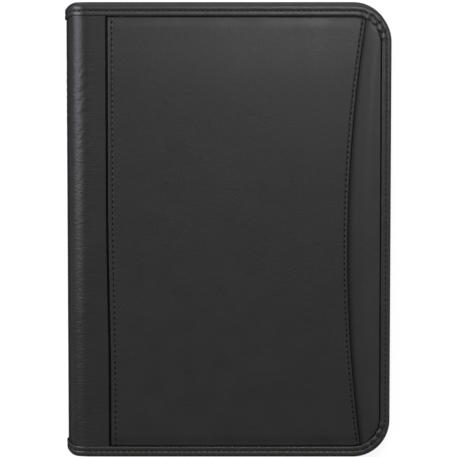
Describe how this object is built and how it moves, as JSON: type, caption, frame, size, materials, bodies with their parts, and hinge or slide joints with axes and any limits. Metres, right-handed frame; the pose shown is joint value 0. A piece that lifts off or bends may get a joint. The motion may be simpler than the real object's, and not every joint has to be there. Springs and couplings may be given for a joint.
{
  "type": "zip-around padfolio",
  "caption": "Shut leather padfolio with bound edges, rounded spine, outside pocket with a bowed opening, zip edge and a writing pad inside.",
  "frame": {"origin": "middle of the outline on the surface that the shut padfolio lies on, which is the outside of the back cover", "axes": "+X from the spine to the fore edge, +Y towards the head, +Z out of the front cover"},
  "size_m": [0.2409, 0.337, 0.03],
  "materials": {
    "leather": "smooth black faux leather with a fine grain and a soft sheen",
    "binding": "black faux leather binding strip, stitched",
    "inner_leather": "black faux leather of the inside pockets",
    "lining": "black woven polyester lining",
    "board": "grey-brown stiffener board",
    "foam": "thin grey padding",
    "zip_tape": "black woven zip tape",
    "zip_teeth": "black moulded nylon coil teeth",
    "zip_metal": "gunmetal plated zinc",
    "elastic": "black ribbed elastic",
    "card": "grey-brown backing card of the pad",
    "paper": "ruled off-white writing paper",
    "head_tape": "black binding tape over the pad's head",
    "film": "clear flexible film"
  },
  "bodies": {
    "back_cover": {"back_cover_leather": "leather", "back_cover_padding": "foam", "back_cover_board": "board", "back_cover_lining": "lining", "back_cover_binding": "binding", "back_zip_tape": "zip_tape", "back_zip_teeth": "zip_teeth", "zip_stop_back_foot": "zip_metal", "zip_stop_back_head": "zip_metal", "pad_slot_panel": "inner_leather"},
    "spine": {"spine_leather": "leather", "spine_board": "board", "spine_lining": "lining", "spine_binding_head": "binding", "spine_binding_foot": "binding", "pen_loop": "elastic"},
    "front_cover": {"front_spine_wrap": "leather", "front_base_panel": "leather", "front_pocket_panel": "leather", "front_cover_padding": "foam", "front_cover_board": "board", "front_cover_lining": "lining", "front_cover_binding": "binding", "front_zip_tape": "zip_tape", "front_zip_teeth": "zip_teeth", "zip_stop_front_foot": "zip_metal", "zip_stop_front_head": "zip_metal", "document_pocket": "inner_leather", "card_pocket_1": "inner_leather", "card_pocket_2": "inner_leather", "card_pocket_3": "inner_leather", "card_window_film": "film", "card_window_frame": "inner_leather"},
    "writing_pad": {"pad_backing_card": "card", "pad_sheets": "paper", "pad_head_tape": "head_tape"},
    "zip_slider": {"zip_slider": "zip_metal"},
    "zip_pull": {"zip_pull_tab": "zip_metal"}
  },
  "joints": [
    {"name": "spine_crease", "type": "hinge", "parent": "back_cover", "child": "spine", "pos_m": [-0.116, 0, 0.0045], "axis": [0, -1, 0], "range_deg": [0, 90]},
    {"name": "front_cover_crease", "type": "hinge", "parent": "spine", "child": "front_cover", "pos_m": [-0.116, 0, 0.0255], "axis": [0, -1, 0], "range_deg": [0, 90]},
    {"name": "pad_slide", "type": "slide", "parent": "back_cover", "child": "writing_pad", "axis": [0, 1, 0], "range_m": [0, 0.014]},
    {"name": "zip_slide", "type": "slide", "parent": "back_cover", "child": "zip_slider", "axis": [1, 0, 0], "range_m": [0, 0.175]},
    {"name": "zip_pull_swing", "type": "hinge", "parent": "zip_slider", "child": "zip_pull", "pos_m": [-0.09225, -0.1667, 0.0144], "axis": [0, 0, -1], "range_deg": [0, 150]}
  ],
  "couplings": [
    {"joint": "spine_crease", "follows": "front_cover_crease", "ratio": 1}
  ]
}
